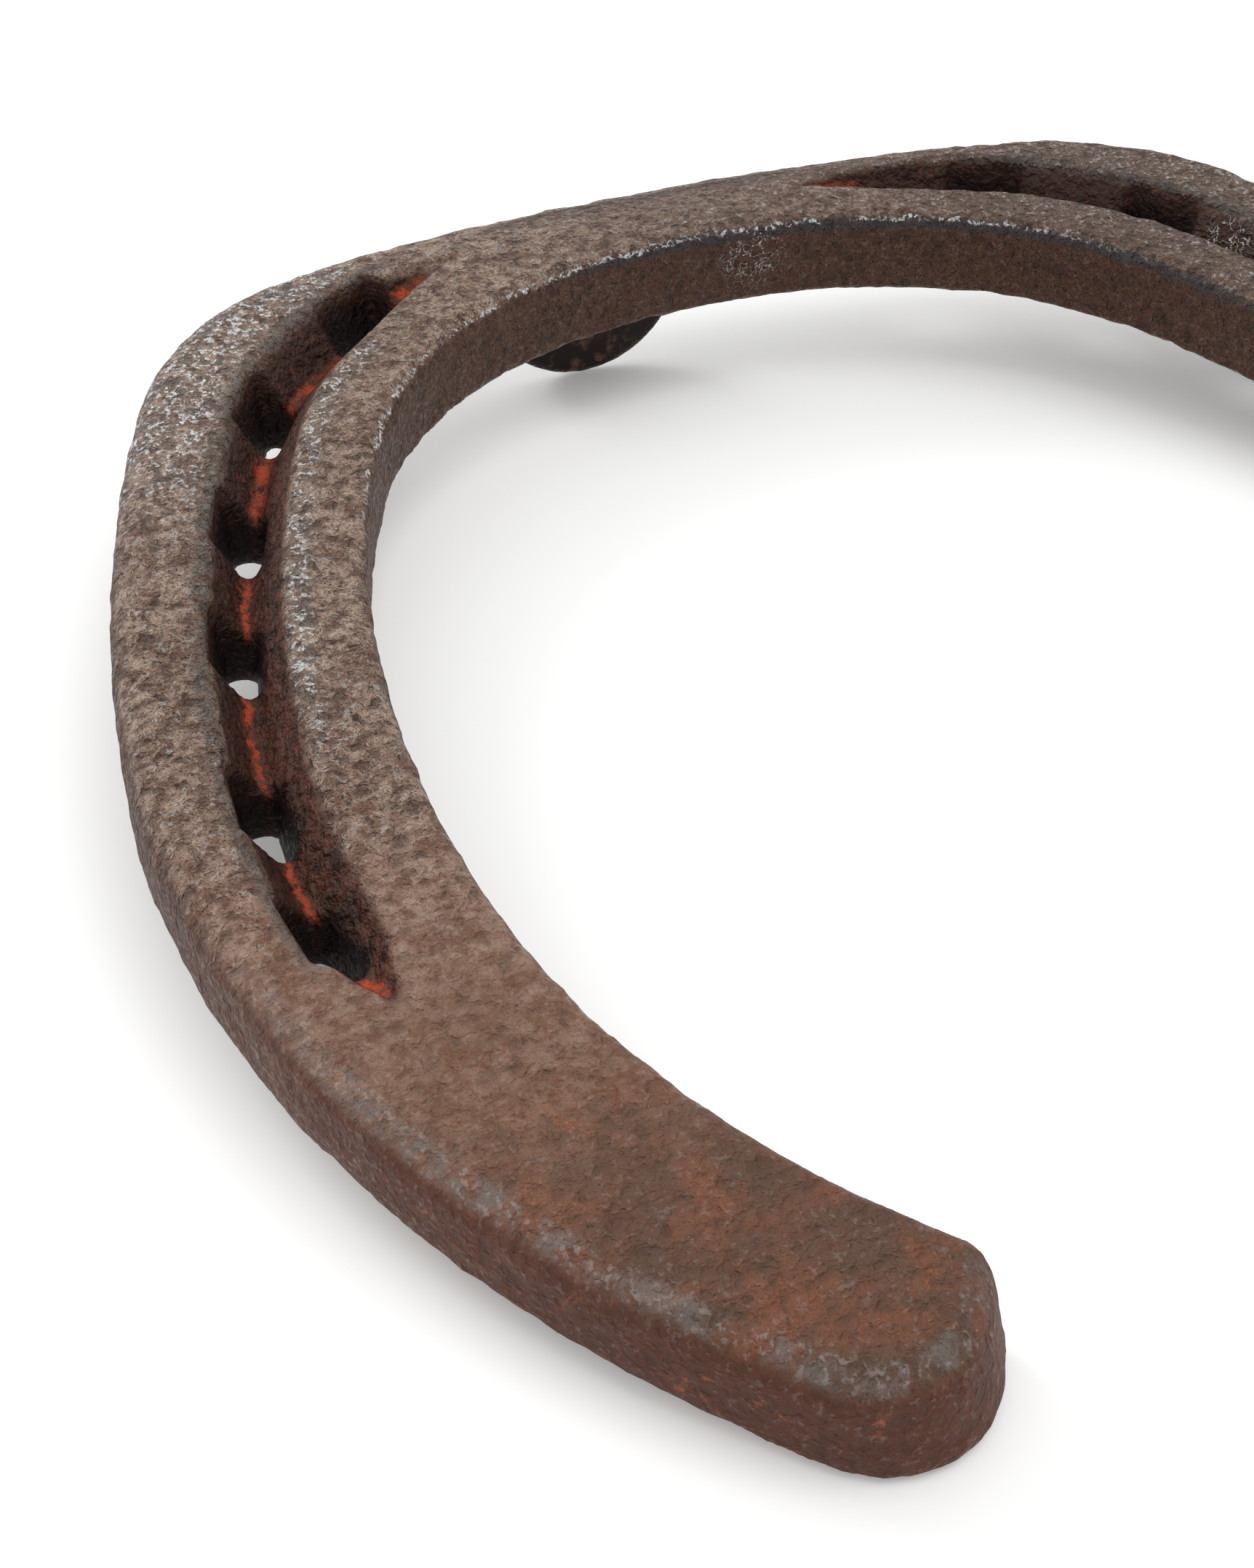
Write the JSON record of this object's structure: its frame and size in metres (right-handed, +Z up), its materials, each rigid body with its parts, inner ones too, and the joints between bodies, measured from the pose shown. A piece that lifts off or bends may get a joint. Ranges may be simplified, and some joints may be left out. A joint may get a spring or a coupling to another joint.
{
  "type": "horseshoe",
  "caption": "Fullered steel horseshoe with a creased and punched bar and a half-round toe clip, worn and rusted, lying ground side up.",
  "frame": {"origin": "on the floor, under the middle of the shoe's box, with the shoe at rest on the clip's tip and both heels", "axes": "+Z up, ground side up; +Y from the heels to the toe; +X to the right branch when looking from heel to toe from above"},
  "size_m": [0.1308, 0.1262, 0.017],
  "materials": {
    "bar_steel": "forged mild steel, fully rusted brown and pitted, orange rust in the creases, worn grey on the rims",
    "clip_steel": "forged mild steel, dark brown, smoother than the bar"
  },
  "bodies": {
    "root": {"shoe_bar": "bar_steel", "toe_clip": "clip_steel"}
  },
  "joints": []
}
